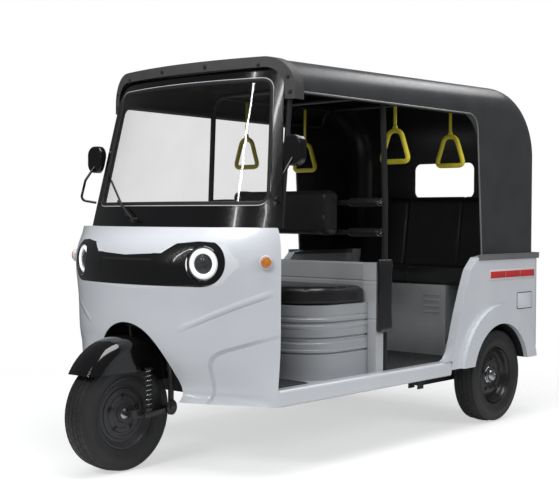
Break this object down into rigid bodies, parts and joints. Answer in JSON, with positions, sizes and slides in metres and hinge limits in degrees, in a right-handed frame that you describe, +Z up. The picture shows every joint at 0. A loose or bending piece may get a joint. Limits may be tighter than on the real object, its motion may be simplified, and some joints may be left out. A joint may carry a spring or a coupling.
{
  "type": "three-wheeled auto rickshaw",
  "caption": "Three-wheeled passenger auto rickshaw with open sides, hard roof, bench seat, steered front wheel and driven rear axle.",
  "frame": {"origin": "on the ground, under the centre of the overall length and width", "axes": "+Z up, the vehicle faces -Y, its left side is at +X"},
  "size_m": [1.404, 2.8379, 1.815],
  "materials": {
    "amber_lens": "amber lens",
    "black_plastic": "matt dark grey",
    "black_steel": "black painted steel",
    "body_paint": "pearl silver white paint",
    "clear_glass": "clear safety glass",
    "gloss_black": "gloss black",
    "grey_plastic": "grey moulded plastic",
    "handle_yellow": "olive yellow moulded plastic",
    "lamp": "black bezel with a white light ring",
    "mat_rubber": "ribbed black rubber",
    "red_lens": "red lens",
    "seat_cover": "black leatherette",
    "spring_steel": "bright coil spring steel",
    "tyre": "black rubber"
  },
  "bodies": {
    "body": {"arch_liner": "black_plastic", "battery_block": "black_steel", "chassis_frame": "black_steel", "dashboard": "black_plastic", "driver_backrest": "seat_cover", "floor_pan": "body_paint", "front_cowl": "body_paint", "front_frame": "black_steel", "front_mat": "mat_rubber", "grab_handle_L1": "handle_yellow", "grab_handle_L2": "handle_yellow", "grab_handle_R1": "handle_yellow", "grab_handle_R2": "handle_yellow", "headlamp_L": "lamp", "headlamp_R": "lamp", "headlamp_band": "gloss_black", "indicator_L": "amber_lens", "indicator_R": "amber_lens", "mirror_L": "gloss_black", "mirror_R": "gloss_black", "partition": "body_paint", "partition_bars": "black_steel", "post_pad_L": "seat_cover", "post_pad_R": "seat_cover", "rear_axle": "black_steel", "rear_bumper": "black_plastic", "rear_mat": "mat_rubber", "rear_panel": "body_paint", "rear_quarter_L": "body_paint", "rear_quarter_R": "body_paint", "rear_seat_back": "seat_cover", "rear_seat_base": "grey_plastic", "rear_seat_cushion": "seat_cover", "rear_spring_L": "spring_steel", "rear_spring_R": "spring_steel", "roof_cap": "black_plastic", "roof_frame": "black_steel", "roof_shell": "black_plastic", "seat_base": "body_paint", "seat_cushion": "seat_cover", "tail_lamp_L": "red_lens", "tail_lamp_R": "red_lens", "wheel_house_L": "black_plastic", "wheel_house_R": "black_plastic", "windscreen_glass": "clear_glass", "windscreen_surround": "gloss_black", "wiper": "black_plastic"},
    "front_wheel": {"tyre_F": "tyre", "rim_F": "black_steel"},
    "rear_wheel_L": {"tyre_RL": "tyre", "rim_RL": "black_steel"},
    "rear_wheel_R": {"tyre_RR": "tyre", "rim_RR": "black_steel"},
    "steering": {"steering_fork": "black_steel", "handlebar": "black_steel", "front_link": "black_steel", "front_spring_L": "spring_steel", "front_spring_R": "spring_steel", "mudguard": "gloss_black"}
  },
  "joints": [
    {"name": "steer", "type": "hinge", "parent": "body", "child": "steering", "pos_m": [0, -1, 0.62], "axis": [0, 0.454, 0.891], "range_deg": [-35, 35]},
    {"name": "front_wheel_spin", "type": "hinge", "parent": "steering", "child": "front_wheel", "pos_m": [0, -1.169, 0.25], "axis": [1, 0, 0], "continuous": true},
    {"name": "rear_wheel_L_spin", "type": "hinge", "parent": "body", "child": "rear_wheel_L", "pos_m": [0.56, 0.972, 0.25], "axis": [1, 0, 0], "continuous": true},
    {"name": "rear_wheel_R_spin", "type": "hinge", "parent": "body", "child": "rear_wheel_R", "pos_m": [-0.56, 0.972, 0.25], "axis": [1, 0, 0], "continuous": true}
  ]
}
